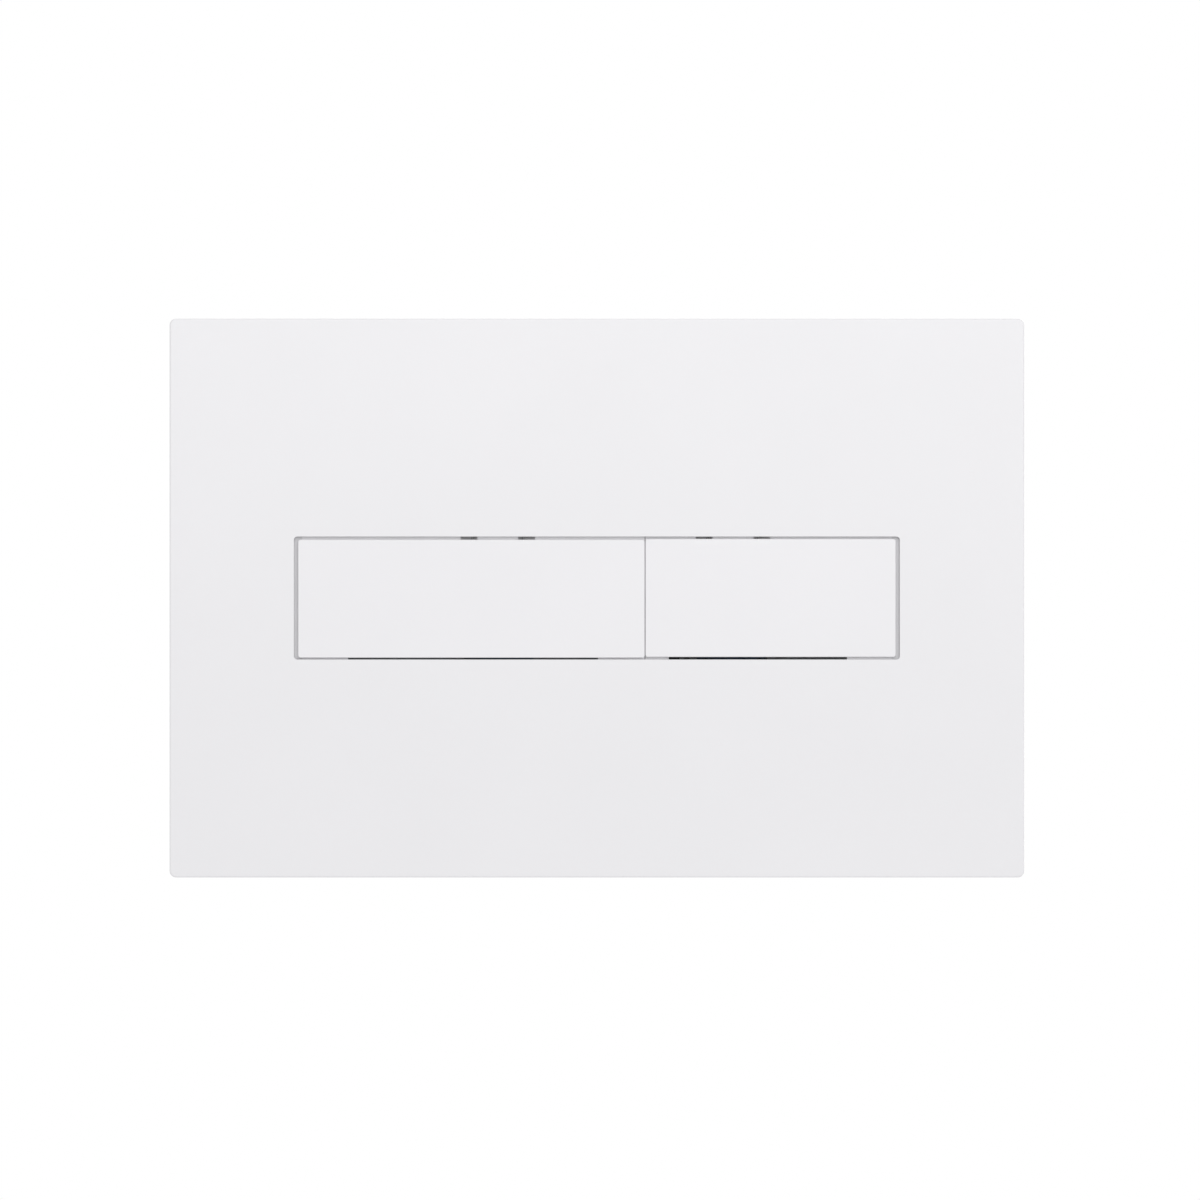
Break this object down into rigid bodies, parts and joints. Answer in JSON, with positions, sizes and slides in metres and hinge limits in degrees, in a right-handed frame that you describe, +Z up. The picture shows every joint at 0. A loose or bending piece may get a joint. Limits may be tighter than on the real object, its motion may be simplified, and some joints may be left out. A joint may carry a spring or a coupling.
{
  "type": "flush button plate",
  "caption": "Wall plate for a concealed cistern: a flat white cover with a wide and a narrow hinged push button, on a frame with push rods.",
  "frame": {"origin": "centre of the cover's back rim, in the plane of the wall's surface", "axes": "+X to the right along the plate's length, +Y into the wall, +Z up; the face looks towards -Y"},
  "size_m": [0.26, 0.097, 0.17],
  "materials": {
    "gloss_shell": "gloss white moulded cover",
    "gloss_buttons": "gloss white moulded buttons",
    "frame_plastic": "mid-grey moulded frame with a fine grain",
    "guide_plastic": "satin blue-grey moulded guides",
    "rod_plastic": "satin natural white rods and caps",
    "steel": "drawn stainless rod",
    "zinc_steel": "bright zinc-plated steel",
    "spring_steel": "drawn stainless spring wire",
    "buffer_rubber": "black moulded rubber"
  },
  "bodies": {
    "plate": {"front_plate": "gloss_shell", "mounting_frame": "frame_plastic", "full_hinge_rod": "steel", "half_hinge_rod": "steel", "full_left_torsion_spring": "spring_steel", "full_right_torsion_spring": "spring_steel", "half_left_torsion_spring": "spring_steel", "half_right_torsion_spring": "spring_steel", "full_rod_guide": "guide_plastic", "half_rod_guide": "guide_plastic", "full_coil_spring": "spring_steel", "half_coil_spring": "spring_steel", "left_fixing_bolt": "zinc_steel", "right_fixing_bolt": "zinc_steel", "left_washer": "zinc_steel", "right_washer": "zinc_steel", "full_left_buffer": "buffer_rubber", "full_right_buffer": "buffer_rubber", "half_left_buffer": "buffer_rubber", "half_right_buffer": "buffer_rubber"},
    "full_button": {"full_flush_button": "gloss_buttons"},
    "half_button": {"half_flush_button": "gloss_buttons"},
    "full_rod": {"full_rod_cap": "rod_plastic", "full_push_rod": "rod_plastic"},
    "half_rod": {"half_rod_cap": "rod_plastic", "half_push_rod": "rod_plastic"}
  },
  "joints": [
    {"name": "full_button_hinge", "type": "hinge", "parent": "plate", "child": "full_button", "pos_m": [-0.03843, -0.007, 0.0212], "axis": [1, 0, 0], "range_deg": [0, 8], "stiffness_Nm_per_rad": 0.36, "springref_deg": -11.46, "deforming": ["full_left_torsion_spring", "full_right_torsion_spring"]},
    {"name": "half_button_hinge", "type": "hinge", "parent": "plate", "child": "half_button", "pos_m": [0.05308, -0.007, 0.0212], "axis": [1, 0, 0], "range_deg": [0, 8], "stiffness_Nm_per_rad": 0.36, "springref_deg": -11.46, "deforming": ["half_left_torsion_spring", "half_right_torsion_spring"]},
    {"name": "full_rod_slide", "type": "slide", "parent": "plate", "child": "full_rod", "axis": [0, 1, 0], "range_m": [0, 0.0042], "deforming": ["full_coil_spring"]},
    {"name": "half_rod_slide", "type": "slide", "parent": "plate", "child": "half_rod", "axis": [0, 1, 0], "range_m": [0, 0.0042], "deforming": ["half_coil_spring"]}
  ],
  "couplings": [
    {"joint": "full_rod_slide", "follows": "full_button_hinge", "m_per_rad": 0.0292},
    {"joint": "half_rod_slide", "follows": "half_button_hinge", "m_per_rad": 0.0292}
  ]
}
